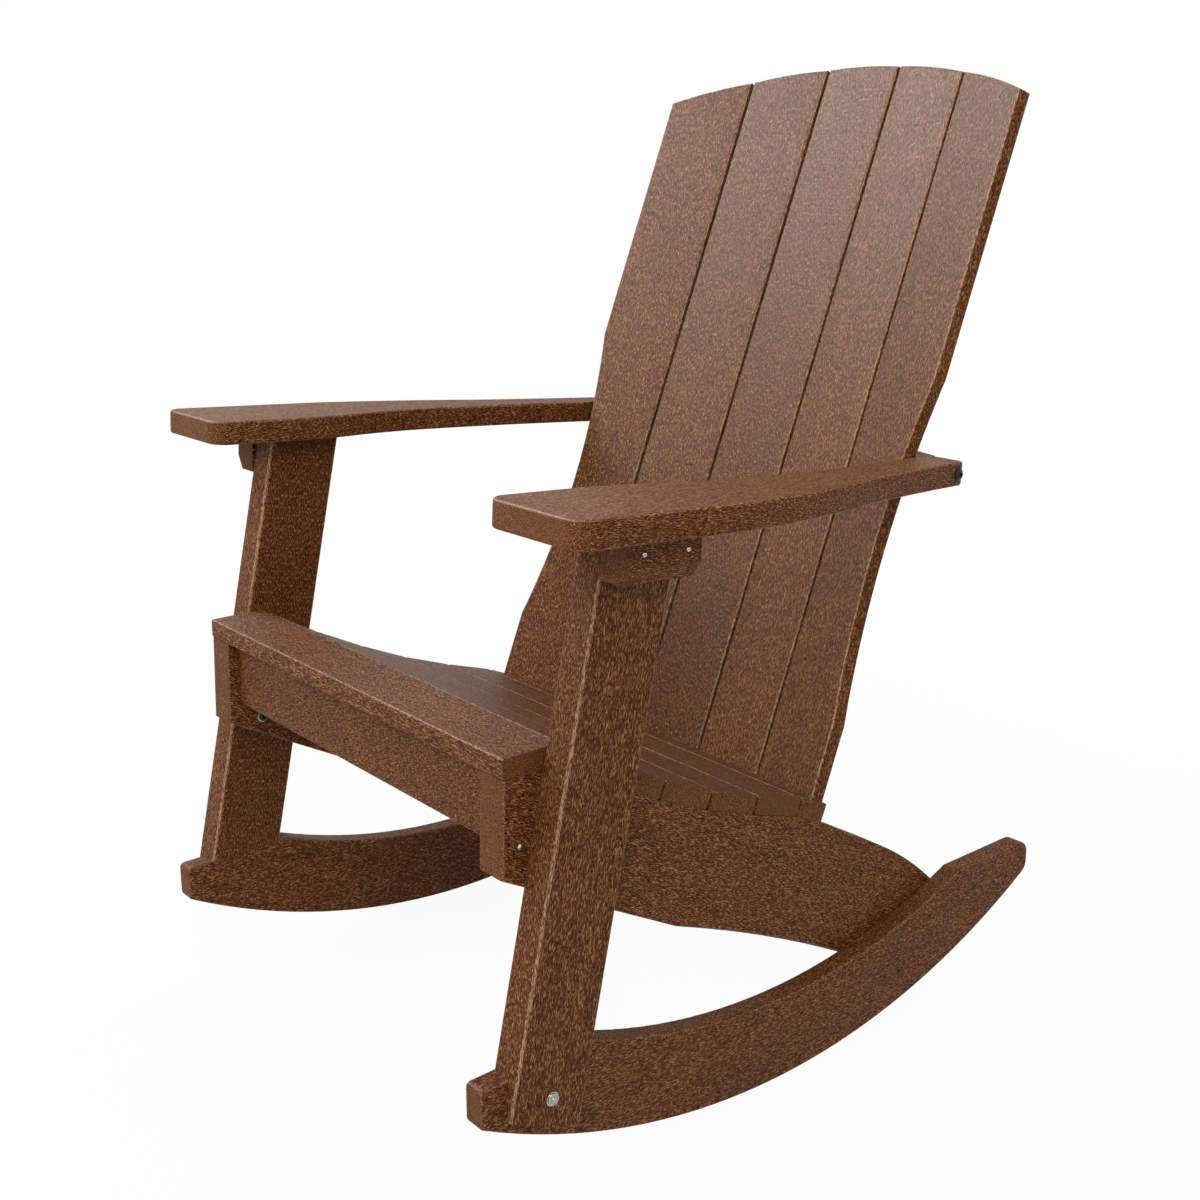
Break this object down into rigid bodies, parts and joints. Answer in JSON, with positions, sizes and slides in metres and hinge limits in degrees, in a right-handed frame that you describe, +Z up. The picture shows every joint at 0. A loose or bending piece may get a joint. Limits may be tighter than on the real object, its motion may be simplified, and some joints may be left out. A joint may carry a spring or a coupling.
{
  "type": "outdoor rocking chair",
  "caption": "Outdoor rocking chair of grained brown poly lumber boards, with a curved slatted seat, a concave reclined back, flat arms and fixed curved rockers.",
  "frame": {"origin": "on the floor, under the middle of the chair's bounding box", "axes": "+Z up, the chair faces -Y, +X to the sitter's left"},
  "size_m": [0.787, 0.866, 1.1062],
  "materials": {
    "poly_lumber": "embossed wood grain, satin",
    "steel": "bright zinc or stainless",
    "black_steel": "black coated"
  },
  "bodies": {
    "root": {"rocker_left": "poly_lumber", "rocker_right": "poly_lumber", "leg_left": "poly_lumber", "leg_right": "poly_lumber", "seat_rail_left": "poly_lumber", "seat_rail_right": "poly_lumber", "apron": "poly_lumber", "seat_slat_1": "poly_lumber", "seat_slat_2": "poly_lumber", "seat_slat_3": "poly_lumber", "seat_slat_4": "poly_lumber", "seat_slat_5": "poly_lumber", "seat_slat_6": "poly_lumber", "rear_seat_board": "poly_lumber", "back_slat_centre": "poly_lumber", "back_slat_inner_left": "poly_lumber", "back_slat_inner_right": "poly_lumber", "back_slat_outer_left": "poly_lumber", "back_slat_outer_right": "poly_lumber", "back_crossbar": "poly_lumber", "upper_back_batten": "poly_lumber", "arm_left": "poly_lumber", "arm_right": "poly_lumber", "arm_bracket_left": "poly_lumber", "arm_bracket_right": "poly_lumber", "rocker_bolts": "steel", "rocker_bolt_washers": "steel", "leg_bolt_washers": "steel", "rail_tail_bolt_washers": "steel", "arm_bolt_washers": "steel", "bracket_screws": "steel", "apron_screws": "steel", "arm_screws": "steel", "seat_screws": "steel", "back_foot_screws": "steel", "crossbar_screws": "steel", "batten_screws": "steel", "leg_bolts": "black_steel", "rail_tail_bolts": "black_steel", "arm_bolts": "black_steel"}
  },
  "joints": []
}
